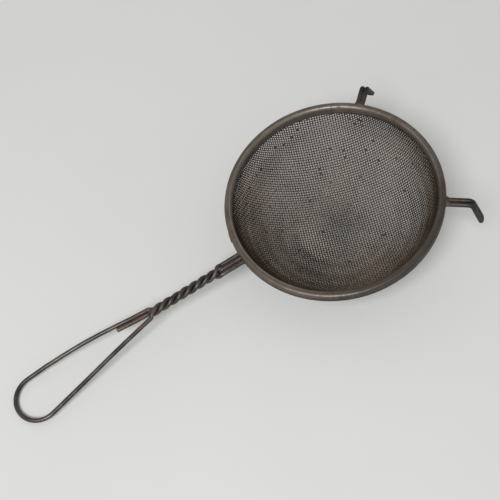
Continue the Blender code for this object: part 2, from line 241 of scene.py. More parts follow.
# Solder: the flare's distance from the rim's axis with its half width and half height there, its
# sideways shift at the rim and how far out that fades, and the pad under the handle's wires.
SOLDER_FLARE = (
    (74.8, 5.0, 2.5),
    (75.6, 4.7, 2.35),
    (76.2, 4.1, 2.1),
    (76.8, 3.7, 1.95),
    (77.4, 3.45, 1.82),
    (77.9, 3.35, 1.7),
    (78.2, 3.15, 1.55),
)
FLARE_SIDES = 40
SOLDER_SHIFT = 0.5
SOLDER_SHIFT_REACH = 4.0
PAD_CENTRE = (-75.9, -1.0, -5.5)
PAD_SIZE = (2.9, 5.0, 1.2)
PAD_SEED = SEED + 20

# Colours, darker first where there are two.
TIN = ((0.115, 0.10, 0.083), (0.19, 0.171, 0.145))
TIN_STREAK = (0.25, 0.23, 0.205)
TIN_GRIME = (0.055, 0.043, 0.034)
TIN_BROWN = (0.15, 0.108, 0.084)
TIN_TINT = (0.15, 0.105, 0.082)
# Painted reflection of the table on the rim's outer corner, then wear with a painted highlight on its
# crest.
TIN_PAINTED_REFLECTION = (0.34, 0.31, 0.275)
TIN_WORN_SHEEN = (0.36, 0.325, 0.29)
# Painted shade on the rim's near side and low on its walls, then painted light on its wall inside.
TIN_PAINTED_SHADE = (0.04, 0.033, 0.026)
TIN_SHADED = (0.03, 0.024, 0.019)
TIN_PAINTED_LIGHT = (0.32, 0.28, 0.245)
TIN_MARK = (0.05, 0.04, 0.032)
HANDLE_IRON = ((0.05, 0.045, 0.04), (0.115, 0.106, 0.096))
REST_IRON = ((0.031, 0.026, 0.022), (0.066, 0.059, 0.051))
IRON_PITS = (0.045, 0.038, 0.032)
IRON_RUST = ((0.07, 0.04, 0.034), (0.14, 0.082, 0.066))
IRON_GREEN = (0.058, 0.06, 0.022)
CLOTH_STEEL = ((0.086, 0.061, 0.043), (0.158, 0.119, 0.086))
CLOTH_BROWN = (0.085, 0.058, 0.038)
CLOTH_GRIME = (0.03, 0.023, 0.018)
# Painted shade under the rim, then painted bluish shade where the bowl meets the table.
CLOTH_RIM_SHADE = (0.03, 0.022, 0.016)
CLOTH_CONTACT_SHADE = (0.062, 0.066, 0.068)
RESIDUE = ((0.018, 0.013, 0.010), (0.055, 0.041, 0.03))
SOLDER = ((0.055, 0.041, 0.034), (0.115, 0.098, 0.084))
TABLE = ((0.655, 0.665, 0.665), (0.735, 0.745, 0.745))
TABLE_HALF_SIZE = 3.0


def rim_pose():
    """Place of the rim's own frame in the world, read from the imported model."""
    axis = Vector(frame["record"]["mounts"][0]["axis"])
    turn = Matrix.Rotation(-math.atan2(axis.x, -axis.z), 4, "Y")
    back = turn.inverted()
    level = [back @ vertex.co for vertex in frame["nodes"]["rim_band"].data.vertices]
    low = [min(point[i] for point in level) for i in range(3)]
    high = [max(point[i] for point in level) for i in range(3)]
    return turn @ Matrix.Translation(((low[0] + high[0]) / 2, (low[1] + high[1]) / 2, high[2]))


POSE = rim_pose()


# Shapes --------------------------------------------------------------------------------------


def add_piece(name, points, faces, material, nodes):
    """A piece from points in millimetres in the rim's frame, which hides the CAD nodes it takes the place
    of.
    """
    turn = np.array(POSE.to_3x3())
    placed = np.asarray(points, float) * MM @ turn.T + np.array(POSE.translation)
    mesh = bpy.data.meshes.new(name)
    mesh.from_pydata(placed.tolist(), [], faces)
    mesh.validate()
    mesh.shade_smooth()
    mesh.materials.append(material)
    piece = bpy.data.objects.new(name, mesh)
    bpy.context.scene.collection.objects.link(piece)
    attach(piece, "root")
    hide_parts(*nodes)
    return piece


def unit(vectors):
    """The vectors at unit length."""
    return vectors / np.maximum(np.linalg.norm(vectors, axis=-1, keepdims=True), 1e-12)


def spline(points, spacing):
    """A smooth path through the points, resampled at about the given spacing."""
    points = np.asarray(points, float)
    filled = [points[:1]]
    for start, end in zip(points[:-1], points[1:]):
        pieces = max(1, round(float(np.linalg.norm(end - start)) / STRAIGHT_STEP))
        filled.append(start + (end - start) * np.linspace(0.0, 1.0, pieces + 1)[1:, None])
    points = np.vstack(filled)
    ends = np.vstack([2 * points[0] - points[1], points, 2 * points[-1] - points[-2]])
    t = np.linspace(0.0, 1.0, SPLINE_STEPS, endpoint=False)[:, None]
    path = []
    for i in range(1, len(ends) - 2):
        before, start, end, after = ends[i - 1:i + 3]
        bend = (2 * before - 5 * start + 4 * end - after) * t ** 2
        turn = (3 * start - before - 3 * end + after) * t ** 3
        path.append((2 * start + (end - before) * t + bend + turn) / 2)
    path = np.vstack([*path, points[-1:]])
    along = np.r_[0.0, np.cumsum(np.linalg.norm(np.diff(path, axis=0), axis=1))]
    count = max(2, int(round(along[-1] / spacing)))
    where = np.linspace(0.0, along[-1], count + 1)
    return np.stack([np.interp(where, along, path[:, i]) for i in range(3)], axis=1)


def carried_frames(path):
    """Two unit vectors across the path at each point, carried along it without twisting."""
    tangent = unit(np.gradient(path, axis=0))
    up = np.array([0.0, 0.0, 1.0])
    across = []
    for t in tangent:
        up = up - t * up.dot(t)
        up = up / np.linalg.norm(up)
        across.append(up)
    across = np.array(across)
    return tangent, across, np.cross(tangent, across)


def loft_faces(rows, sides, reverse=False):
    """Faces between rings of points given row by row, and one face over each end, facing out.

    reverse is for rings whose points run the other way round.
    """
    faces = []
    for row in range(rows - 1):
        for k in range(sides):
            here, there, after = row * sides, (row + 1) * sides, (k + 1) % sides
            if reverse:
                faces.append((here + k, there + k, there + after, here + after))
            else:
                faces.append((here + k, here + after, there + after, there + k))
    first, last = tuple(range(sides)), tuple(range((rows - 1) * sides, rows * sides))
    return faces + ([first, last[::-1]] if reverse else [first[::-1], last])


def tube(path, radius):
    """A round wire along a path, with a rounded edge at each cut end, as (points, faces)."""
    tangent, across, beside = carried_frames(path)
    stations = []
    for inset, share in WIRE_END_ROUNDING:
        stations.append((path[0] + tangent[0] * inset, 0, share))
    stations += [(path[i], i, 1.0) for i in range(1, len(path) - 1)]
    for inset, share in reversed(WIRE_END_ROUNDING):
        stations.append((path[-1] - tangent[-1] * inset, len(path) - 1, share))
    angles = np.linspace(0.0, math.tau, WIRE_SIDES, endpoint=False)[:, None]
    rings = []
    for place, i, share in stations:
        wide = radius * share
        rings.append(place + wide * np.cos(angles) * beside[i] + wide * np.sin(angles) * across[i])
    return np.vstack(rings), loft_faces(len(rings), WIRE_SIDES)


def joined(parts):
    """Several (points, faces) as one."""
    points, faces, start = [], [], 0
    for some_points, some_faces in parts:
        points.append(some_points)
        faces += [tuple(start + i for i in face) for face in some_faces]
        start += len(some_points)
    return np.vstack(points), faces


def turned_by(points, angle):
    """The points turned round the rim's axis."""
    c, s = math.cos(angle), math.sin(angle)
    x, y, z = points.T
    return np.stack([x * c - y * s, x * s + y * c, z], axis=1)


def wobble(path, size, length, seed):
    """The path with the slight bends of a wire that was straightened and used by hand."""
    rng = np.random.default_rng(seed)
    along = np.r_[0.0, np.cumsum(np.linalg.norm(np.diff(path, axis=0), axis=1))]
    shift = np.zeros_like(path)
    for _ in range(WOBBLE_WAVES):
        phase = rng.uniform(0, math.tau, 3)
        wave = length * rng.uniform(0.6, 1.7)
        shift += np.sin(along[:, None] * math.tau / wave + phase) * size / 2
    fade = np.minimum(1.0, np.minimum(along, along[-1] - along) / WOBBLE_FADE)
    return path + shift * fade[:, None]


# Materials -----------------------------------------------------------------------------------


class Nodes:
    """A short way to write a node tree. Places are in metres, and noise scales per metre."""

    def __init__(self, name, in_rim_frame=True):
        self.material = bpy.data.materials.new(name)
        self.material.use_nodes = True
        self.tree = self.material.node_tree
        self.shader = self.tree.nodes["Principled BSDF"]
        self.place = self.tree.nodes.new("ShaderNodeTexCoord").outputs["Object"]
        if in_rim_frame:
            back = self.tree.nodes.new("ShaderNodeMapping")
            back.vector_type = "TEXTURE"
            back.inputs["Location"].default_value = POSE.translation
            back.inputs["Rotation"].default_value = POSE.to_euler()
            self.link(self.place, back.inputs["Vector"])
            self.place = back.outputs[0]

    def link(self, value, socket):
        if isinstance(value, bpy.types.NodeSocket):
            self.tree.links.new(value, socket)
        else:
            socket.default_value = value

    def math(self, operation, *values, clamp=False):
        node = self.tree.nodes.new("ShaderNodeMath")
        node.operation = operation
        node.use_clamp = clamp
        for value, socket in zip(values, node.inputs):
            self.link(value, socket)
        return node.outputs[0]

    def times(self, first, second):
        return self.math("MULTIPLY", first, second)

    def plus(self, first, second):
        return self.math("ADD", first, second)

    def minus(self, first, second, clamp=False):
        return self.math("SUBTRACT", first, second, clamp=clamp)

    def most(self, first, second):
        return self.math("MAXIMUM", first, second)

    def mix(self, share, first, second):
        """The first colour, going over to the second as the share goes from 0 to 1."""
        node = self.tree.nodes.new("ShaderNodeMix")
        node.data_type = "RGBA"
        self.link(share, node.inputs[0])
        for value, socket in ((first, node.inputs[6]), (second, node.inputs[7])):
            if not isinstance(value, bpy.types.NodeSocket):
                value = (*value, 1.0)
            self.link(value, socket)
        return node.outputs[2]

    def noise(self, scale, detail, roughness, place=None):
        node = self.tree.nodes.new("ShaderNodeTexNoise")
        self.link(self.place if place is None else place, node.inputs["Vector"])
        node.inputs["Scale"].default_value = scale
        node.inputs["Detail"].default_value = detail
        node.inputs["Roughness"].default_value = roughness
        return node.outputs["Fac"]

    def ramp(self, value, low, high):
        """0 below low, 1 above high, smooth between."""
        node = self.tree.nodes.new("ShaderNodeMapRange")
        node.interpolation_type = "SMOOTHSTEP"
        self.link(value, node.inputs["Value"])
        self.link(low, node.inputs["From Min"])
        self.link(high, node.inputs["From Max"])
        return node.outputs["Result"]

    def near(self, point, inner, outer):
        """1 within inner millimetres of a point of the rim's frame, 0 beyond outer."""
        node = self.tree.nodes.new("ShaderNodeVectorMath")
        node.operation = "DISTANCE"
        self.link(self.place, node.inputs[0])
        node.inputs[1].default_value = [part * MM for part in point]
        return self.ramp(node.outputs["Value"], outer * MM, inner * MM)

    def band(self, value, middle, inner, outer):
        """1 within inner millimetres of a middle value, 0 beyond outer."""
        gap = self.math("ABSOLUTE", self.minus(value, middle * MM))
        return self.ramp(gap, outer * MM, inner * MM)

    def rising(self, value, low, high):
        """0 below low millimetres, 1 above high."""
        return self.ramp(value, low * MM, high * MM)

    def section(self):
        """Distance from the rim's axis, height, and angle round it."""
        x, y, z = self.parts()
        squares = self.plus(self.times(x, x), self.times(y, y))
        return self.math("SQRT", squares), z, self.math("ARCTAN2", y, x)

    def parts(self):
        """The place's three coordinates."""
        node = self.tree.nodes.new("ShaderNodeSeparateXYZ")
        self.link(self.place, node.inputs[0])
        return node.outputs

    def round_place(self, stretch):
        """Coordinates that run round the rim's axis, for marks drawn out along the rim."""
        radius, z, angle = self.section()
        node = self.tree.nodes.new("ShaderNodeCombineXYZ")
        self.link(self.times(angle, RIM_RADIUS * MM / stretch), node.inputs[0])
        self.link(radius, node.inputs[1])
        self.link(z, node.inputs[2])
        return node.outputs[0]

    def bump(self, height, distance, strength):
        node = self.tree.nodes.new("ShaderNodeBump")
        self.link(height, node.inputs["Height"])
        node.inputs["Distance"].default_value = distance * MM
        node.inputs["Strength"].default_value = strength
        self.link(node.outputs[0], self.shader.inputs["Normal"])

    def finish(self, colour, roughness, metallic):
        self.link(colour, self.shader.inputs["Base Color"])
        self.link(roughness, self.shader.inputs["Roughness"])
        self.link(metallic, self.shader.inputs["Metallic"])
        return self.material


def rim_material():
    """Tinned strip: dull and stained, with a worn crest and painted highlight, reflection, shade and
    light.
    """
    n = Nodes("worn_tinned_strip")
    radius, height, angle = n.section()
    drawn = n.round_place(9.0)
    streaks = n.noise(900.0, 3.0, 0.6, drawn)
    patches = n.noise(70.0, 5.0, 0.62)
    fine = n.noise(1500.0, 3.0, 0.6)
    colour = n.mix(n.ramp(patches, 0.36, 0.66), *TIN)
    colour = n.mix(n.times(n.ramp(streaks, 0.45, 0.75), 0.35), colour, TIN_STREAK)
    grime = n.times(n.ramp(n.noise(170.0, 6.0, 0.72), 0.48, 0.68), 0.75)
    colour = n.mix(grime, colour, TIN_GRIME)
    brown = n.times(n.ramp(n.noise(55.0, 4.0, 0.65), 0.44, 0.68), 0.55)
    colour = n.mix(brown, colour, TIN_BROWN)
    tint = n.most(n.near((55.0, -47.0, -2.0), 6.0, 30.0), n.near((-75.0, 0.0, -2.0), 12.0, 46.0))
    colour = n.mix(n.times(tint, 0.32), colour, TIN_TINT)
    # Lighter lines: wear and a painted highlight on the crest all round, weaker on the far side.
    top = n.rising(height, -1.6, -0.5)
    crest = n.band(radius, 72.4, 0.2, 0.75)
    crest_wear_and_sheen = n.times(n.times(crest, top), n.ramp(streaks, 0.2, 0.55))
    # The far side, where the lamp's own highlight falls: less painted highlight on the crest, rougher, and
    # a painted reflection on the outer corner.
    highlight_side = n.near((67.0, 36.0, 0.0), 14.0, 44.0)
    crest_wear_and_sheen = n.times(crest_wear_and_sheen, n.minus(1.0, n.times(highlight_side, 0.85)))
    edge_reflection = n.times(n.band(radius, 75.65, 0.12, 0.4), n.rising(height, -2.6, -1.6))
    colour = n.mix(n.times(edge_reflection, n.times(highlight_side, 0.5)), colour, TIN_PAINTED_REFLECTION)
    # The crest's painted highlight is stronger toward the handle.
    worn_sheen_share = n.plus(n.times(n.near((-74.0, -12.0, 0.0), 12.0, 46.0), 0.3), 0.38)
    colour = n.mix(n.times(crest_wear_and_sheen, worn_sheen_share), colour, TIN_WORN_SHEEN)
    # Painted shade over the rim's near side.
    painted_shade = n.times(n.near((20.0, -70.0, 0.0), 42.0, 82.0), 0.64)
    colour = n.mix(painted_shade, colour, TIN_PAINTED_SHADE)
    # Painted shade low on the outer wall and at the inner foot, and painted light on the wall inside.
    below = n.rising(radius, 75.4, 75.9)
    outer_wall = n.times(below, n.rising(n.times(height, -1.0), 1.6, 3.0))
    inner_foot = n.rising(n.times(height, -1.0), 6.4, 7.8)
    shaded = n.most(n.times(outer_wall, 0.8), n.times(inner_foot, 0.6))
    colour = n.mix(shaded, colour, TIN_SHADED)
    inside = n.rising(n.times(radius, -1.0), -71.7, -70.9)
    inner_wall = n.times(inside, n.minus(1.0, painted_shade))
    # Painted light on the wall inside, clear of the painted shades.
    painted_light = n.minus(inner_wall, inner_foot, clamp=True)
    colour = n.mix(n.times(painted_light, 0.55), colour, TIN_PAINTED_LIGHT)
    for place in RIM_MARKS:
        gap = n.math("ABSOLUTE", n.minus(angle, place))
        mark = n.ramp(n.times(gap, RIM_RADIUS), 0.42, 0.12)
        colour = n.mix(n.times(mark, 0.55), colour, TIN_MARK)
    rough = n.plus(n.times(n.ramp(patches, 0.3, 0.7), -0.12), 0.46)
    rough = n.plus(rough, n.times(grime, 0.25))
    rough = n.minus(rough, n.times(crest_wear_and_sheen, 0.06))
    rough = n.plus(rough, n.times(shaded, 0.25))
    rough = n.plus(rough, n.times(highlight_side, 0.12))
    n.bump(n.plus(n.times(streaks, 0.5), fine), 0.03, 0.6)
    dull = n.most(grime, shaded)
    return n.finish(colour, rough, n.minus(0.7, n.times(dull, 0.4)))


def wire_material(name, iron, rust_spots, green_spots=(), shine=0.0):
    """Dull iron wire. Rust and green spots are (point, inner, outer, share)."""
    n = Nodes(name)
    patches = n.noise(120.0, 5.0, 0.65)
    fine = n.noise(1400.0, 4.0, 0.65)
    colour = n.mix(n.ramp(patches, 0.35, 0.68), *iron)
    colour = n.mix(n.times(n.ramp(fine, 0.5, 0.75), 0.45), colour, IRON_PITS)
    rust = None
    for point, inner, outer, share in rust_spots:
        spot = n.times(n.near(point, inner, outer), share)
        rust = spot if rust is None else n.most(rust, spot)
    speckle = n.ramp(n.noise(420.0, 6.0, 0.72), 0.38, 0.6)
    rust = n.times(n.plus(n.times(speckle, 0.75), 0.25), rust)
    red = n.mix(n.noise(600.0, 4.0, 0.7), *IRON_RUST)
    colour = n.mix(rust, colour, red)
    for point, inner, outer, share in green_spots:
        near = n.near(point, inner, outer)
        spot = n.times(near, n.times(n.ramp(speckle, 0.1, 0.6), share))
        colour = n.mix(spot, colour, IRON_GREEN)
    rough = n.plus(n.times(fine, 0.2), 0.26 - shine)
    rough = n.plus(rough, n.times(rust, 0.25))
    n.bump(n.plus(fine, n.times(speckle, 0.6)), 0.05, 0.6)
    return n.finish(colour, rough, n.minus(0.8, n.times(rust, 0.6)))


def cloth_material(name, shift):
    """Cloth wire: browner toward one side, grimy in spots, painted shade under the rim, bluish painted
    shade at the bottom.
    """
    n = Nodes(name)
    patches = n.noise(38.0, 4.0, 0.6)
    spots = n.noise(620.0 + shift, 3.0, 0.6)
    colour = n.mix(n.ramp(patches, 0.35, 0.68), *CLOTH_STEEL)
    brown = n.ramp(n.plus(n.noise(30.0, 3.0, 0.6), n.times(n.parts()[1], -4.0)), 0.52, 0.82)
    colour = n.mix(n.times(brown, 0.32), colour, CLOTH_BROWN)
    grime = n.ramp(spots, 0.56, 0.70)
    colour = n.mix(n.times(grime, 0.8), colour, CLOTH_GRIME)
    # Painted shade under the rim's overhang.
    rim_shade = n.rising(n.parts()[2], -17.0, -7.0)
    colour = n.mix(n.times(rim_shade, 0.75), colour, CLOTH_RIM_SHADE)
    # Painted bluish shade at the bottom, where the bowl meets the table.
    contact_shade = n.times(n.near((-2.0, 2.0, -50.4), 5.0, 22.0), 0.6)
    colour = n.mix(contact_shade, colour, CLOTH_CONTACT_SHADE)
    rough = n.plus(n.times(grime, 0.3), 0.42)
    return n.finish(colour, rough, n.minus(0.75, n.times(grime, 0.5)))


def residue_material():
    """Dried flour paste, browned, that fills some holes of the cloth."""
    n = Nodes("dried_residue")
    patches = n.noise(800.0, 4.0, 0.6)
    colour = n.mix(patches, *RESIDUE)
    n.bump(n.noise(2500.0, 4.0, 0.6), 0.08, 0.8)
    return n.finish(colour, n.plus(n.times(patches, 0.2), 0.65), 0.0)


def solder_material():
    """Tarnished solder, in darker and lighter patches."""
    n = Nodes("tarnished_solder")
    patches = n.noise(300.0, 5.0, 0.65)
    colour = n.mix(n.ramp(patches, 0.35, 0.65), *SOLDER)
    n.bump(n.noise(900.0, 4.0, 0.6), 0.08, 0.7)
    return n.finish(colour, n.plus(n.times(patches, 0.3), 0.42), 0.6)


# Rim -----------------------------------------------------------------------------------------


def notch_share(angle):
    """1 where the band's outer leg is cut away for wires, 0 elsewhere."""
    half = REST_SPACING / 2 + REST_RADIUS + NOTCH_GAP
    openings = [(rest[0], half, half) for rest in RESTS.values()]
    strands = WIRE_SPACING + WIRE_RADIUS + NOTCH_GAP
    handle = math.pi - HANDLE_OFFSET / RIM_RADIUS
    openings.append((handle, strands + NOTCH_BEND_ROOM, strands))
    share = 0.0
    for centre, before, after in openings:
        along = ((angle - centre + math.pi) % math.tau - math.pi) * RIM_RADIUS
        inside = min(along + before, after - along)
        share = max(share, min(1.0, max(0.0, inside / NOTCH_EASE + 0.5)))
    return share


def arch(half):
    """Half a rounded square, from its outer foot over the top to its inner foot."""
    points = []
    for i in range(BAND_ARCH_POINTS + 1):
        angle = math.pi * i / BAND_ARCH_POINTS
        wide, tall = math.cos(angle), math.sin(angle)
        wide = math.copysign(abs(wide) ** (2 / BAND_CORNER_POWER), wide)
        points.append((half * wide, half * max(0.0, tall) ** (2 / BAND_CORNER_POWER)))
    return points


def band_section(lift):
    """The strip's section as (radius, height), outer face first, with its two cut lips."""
    middle = RIM_RADIUS - BAND_WIDTH / 2
    outer = BAND_WIDTH / 2
    inner = outer - BAND_SHEET
    bottom = -BAND_OUTER_LEG + lift
    shape = []
    for t in OUTER_LEG_POINTS:
        shape.append((RIM_RADIUS, -outer + (bottom + outer) * t))
    for x, z in arch(outer):
        shape.append((middle + x, z - outer))
    for t in INNER_LEG_POINTS:
        shape.append((RIM_RADIUS - BAND_WIDTH, -outer + (outer - BAND_INNER_LEG) * t))
    foot = RIM_RADIUS - BAND_WIDTH + BAND_SHEET
    shape.append((foot - BAND_SHEET * 0.5, -BAND_INNER_LEG - 0.1))
    for t in (0.97, 0.6):
        shape.append((foot, -outer + (outer - BAND_INNER_LEG) * t))
    for x, z in arch(inner)[::-1]:
        shape.append((middle + x, z - outer))
    shape.append((RIM_RADIUS - BAND_SHEET, -outer + (bottom + outer) * 0.5))
    shape.append((RIM_RADIUS - BAND_SHEET, bottom))
    return shape


def rim_stations():
    """Angles from the strip's start at which it gets a section, closer together at the notches."""
    angles = list(np.linspace(0.0, math.tau + LAP_LENGTH, BAND_STATIONS))
    edges = []
    for before, after in zip(angles[:-1], angles[1:]):
        if notch_share(LAP_ANGLE + before) != notch_share(LAP_ANGLE + after):
            edges += list(np.linspace(before, after, NOTCH_STEPS + 1)[1:-1])
    return sorted(angles + edges)


def uneven(waves, turn, which):
    """The strip's slight unevenness at one angle: its sway (which 2) or its lift (which 3)."""
    return sum(wave[1] * math.sin(wave[0] * turn + wave[which]) for wave in waves)


def rim_ring(angle, waves):
    """The section's points at one angle from the strip's start."""
    turn = LAP_ANGLE + angle
    rise = LAP_RISE * min(1.0, max(0.0, (angle - math.tau + LAP_LENGTH) / LAP_LENGTH))
    rise += LAP_RISE * 0.15 * min(1.0, max(0.0, 1 - angle / LAP_LENGTH))
    share = notch_share(turn) if angle < math.tau else 0.0
    sway = uneven(waves, turn, 2) * RIM_SWAY
    sway += RIM_OVAL_MEAN + RIM_OVAL_SWING * math.cos(2 * (turn - RIM_OVAL_ANGLE))
    lift = uneven(waves, turn, 3) * RIM_LIFT
    ring = []
    for radius, height in band_section(NOTCH_LIFT * share):
        r = radius + sway + (rise if radius > RIM_RADIUS - BAND_WIDTH / 2 else rise * 0.1)
        z = height + lift + rise * (1.0 if height > -BAND_WIDTH / 2 else 0.0) * 0.4 - BAND_DROP
        ring.append((r * math.cos(turn), r * math.sin(turn), z))
    return ring


def rim_piece():
    """The strip goes once round and laps a little over its own start."""
    rng = np.random.default_rng(SEED)
    waves = []
    for k in RIM_WAVES:
        waves.append((k, rng.uniform(-1, 1) / k, rng.uniform(0, math.tau), rng.uniform(0, math.tau)))
    rings = [rim_ring(angle, waves) for angle in rim_stations()]
    faces = loft_faces(len(rings), len(rings[0]), reverse=True)
    rim = add_piece("rim_band_fold", np.vstack(rings), faces, rim_material(), ["rim_band"])
    rim.data.set_sharp_from_angle(angle=math.radians(50.0))


# Cloth ---------------------------------------------------------------------------------------


def cloth_curve():
    """Smooth profile as dense (radius, height) points, and the distance along it.

    It starts a little on the pole's other side, so that it is level there, and is cut at the pole.
    """
    first = [(-r, z) for r, z in CLOTH_PROFILE[2:0:-1]]
    profile = [(r, z, 0.0) for r, z in (*first, *CLOTH_PROFILE)]
    dense = spline(profile, PROFILE_STEP)[:, :2]
    start = int(np.argmin(np.abs(dense[:, 0])))
    dense = dense[start:]
    dense[0, 0] = 0.0
    along = np.r_[0.0, np.cumsum(np.linalg.norm(np.diff(dense, axis=0), axis=1))]
    return dense, along


CURVE, CURVE_ALONG = cloth_curve()


def off_cloth(points):
    """Signed distance from the cloth's middle surface, positive inside the bowl, and the normal."""
    radius = np.hypot(points[:, 0], points[:, 1])
    place = np.stack([radius, points[:, 2]], axis=1)
    start, step = CURVE[:-1], np.diff(CURVE, axis=0)
    gap = place[:, None, :] - start[None]
    t = np.clip((gap * step).sum(2) / (step ** 2).sum(1), 0.0, 1.0)
    away = gap - step[None] * t[..., None]
    nearest = np.argmin((away ** 2).sum(2), axis=1)
    along = unit(step[nearest])
    inward = np.stack([-along[:, 1], along[:, 0]], axis=1)
    distance = (away[np.arange(len(points)), nearest] * inward).sum(1)
    around = np.stack([points[:, 0], points[:, 1]], axis=1) / np.maximum(radius, 1e-9)[:, None]
    normal = np.concatenate([around * inward[:, :1], inward[:, 1:]], axis=1)
    return distance, normal


def along_profile(angle, k):
    """Crossing number k from the pole along a wire that follows the bowl's profile."""
    s = abs(k) * CLOTH_PITCH
    r = np.interp(s, CURVE_ALONG, CURVE[:, 0]) * (1 if k >= 0 else -1)
    return r * math.cos(angle), r * math.sin(angle), np.interp(s, CURVE_ALONG, CURVE[:, 1])


def fourth_corners(a, b, c):
    """Points of the cloth one pitch from both a and b, on the other side of them from c.

    Each lies on a circle round the line from a to b. Secant steps find where it meets the cloth.
    """
    middle = (a + b) / 2
    width = np.linalg.norm(b - a, axis=1)
    height = np.sqrt(CLOTH_PITCH ** 2 - width ** 2 / 4)[:, None]
    side = unit(b - a)
    ahead = middle - c
    ahead = unit(ahead - side * (ahead * side).sum(1, keepdims=True))
    lift = np.cross(side, ahead)

    def point(angle):
        return middle + height * (np.cos(angle)[:, None] * ahead + np.sin(angle)[:, None] * lift)

    angle_a, angle_b = np.zeros(len(a)), np.full(len(a), 0.1)
    value_a, value_b = off_cloth(point(angle_a))[0], off_cloth(point(angle_b))[0]
    for _ in range(SURFACE_STEPS):
        slope = (value_b - value_a) / np.where(angle_b == angle_a, 1.0, angle_b - angle_a)
        slope = np.where(np.abs(slope) < 1e-6, 1e-6, slope)
        angle_c = np.clip(angle_b - value_b / slope, -1.5, 1.5)
        angle_a, value_a = angle_b, value_b
        angle_b, value_b = angle_c, off_cloth(point(angle_c))[0]
    return point(angle_b)


def cloth_net():
    """Crossings of the two families of wires, which keep their pitch as the cloth is draped.

    The two wires through the pole come first, then each quarter between them, outward from the pole.
    """
    reach = CLOTH_REACH
    net = np.full((2 * reach + 1, 2 * reach + 1, 3), np.nan)
    for k in range(-reach, reach + 1):
        net[reach + k, reach] = along_profile(WEFT_ANGLE, k)
        net[reach, reach + k] = along_profile(WARP_ANGLE, k)
    for si, sj in ((1, 1), (1, -1), (-1, -1), (-1, 1)):
        for total in range(2, 2 * reach + 1):
            i = np.arange(max(1, total - reach), min(reach, total - 1) + 1)
            j = total - i
            a = net[reach + si * (i - 1), reach + sj * j]
            b = net[reach + si * i, reach + sj * (j - 1)]
            c = net[reach + si * (i - 1), reach + sj * (j - 1)]
            good = ~np.isnan(a[:, 0] + b[:, 0] + c[:, 0])
            good &= np.linalg.norm(np.nan_to_num(b - a), axis=1) < WIDEST_CELL * CLOTH_PITCH
            if not good.any():
                break
            i, j = i[good], j[good]
            net[reach + si * i, reach + sj * j] = fourth_corners(a[good], b[good], c[good])
    return net


def cloth_wires(net, along_first):
    """Paths of one family's wires, woven over and under the other family, clipped under the rim."""
    grid = net if along_first else net.transpose(1, 0, 2)
    reach = CLOTH_REACH
    sign = 1 if along_first else -1
    wires = []
    for row in range(grid.shape[1]):
        line = grid[:, row]
        inside = line[:, 2] < CLOTH_TOP
        if not inside.any():
            continue
        centre = np.flatnonzero(inside)[np.argmin(np.abs(np.flatnonzero(inside) - reach))]
        low, high = centre, centre
        while low > 0 and inside[low - 1]:
            low -= 1
        while high < len(line) - 1 and inside[high + 1]:
            high += 1
        chosen = np.arange(low, high + 1)
        nodes = line[chosen]
        over = sign * np.where((chosen + row) % 2 == 0, 1.0, -1.0)
        for end, step in ((0, -1), (-1, 1)):
            beyond = chosen[end] + step
            if not 0 <= beyond < len(line) or np.isnan(line[beyond, 0]):
                continue
            inner, outer = line[chosen[end]], line[beyond]
            t = (CLOTH_TOP - inner[2]) / (outer[2] - inner[2])
            last = inner + (outer - inner) * t
            if t > SHORTEST_END:
                nodes = np.vstack([last[None], nodes] if end == 0 else [nodes, last[None]])
                over = np.r_[0.0, over] if end == 0 else np.r_[over, 0.0]
        if len(nodes) >= 3:
            wires.append((nodes, over))
    return wires


def clogged(path):
    """Radius of a cloth wire: it is thicker where residue clings to it."""
    near_rim = np.clip((path[:, 2] + 15.0) / 9.0, 0.0, 1.0)
    swell = 1 + CLOG_AT_RIM * near_rim
    for place, reach, share in CLOG_SPOTS:
        away = np.linalg.norm(path - place, axis=1)
        swell = np.maximum(swell, 1 + share * np.exp(-((away / reach) ** 2)))
    return CLOTH_RADIUS * swell


def woven(wires):
    """Tubes for all the wires of one family, with points at and between the crossings."""
    angles = np.linspace(0.0, math.tau, CLOTH_SIDES, endpoint=False)[None, :, None]
    tubes = []
    for nodes, over in wires:
        count = 2 * len(nodes) - 1
        path, height = np.zeros((count, 3)), np.zeros(count)
        path[::2] = nodes
        path[1::2] = (nodes[:-1] + nodes[1:]) / 2
        height[::2] = over * CLOTH_CRIMP
        normal = off_cloth(path)[1]
        path = path + normal * height[:, None]
        tangent = unit(np.gradient(path, axis=0))
        beside = unit(np.cross(tangent, normal))
        up = np.cross(beside, tangent)
        spokes = np.cos(angles) * beside[:, None] + np.sin(angles) * up[:, None]
        rings = path[:, None] + clogged(path)[:, None, None] * spokes
        tubes.append((rings.reshape(-1, 3), loft_faces(count, CLOTH_SIDES, reverse=True)))
    return joined(tubes)


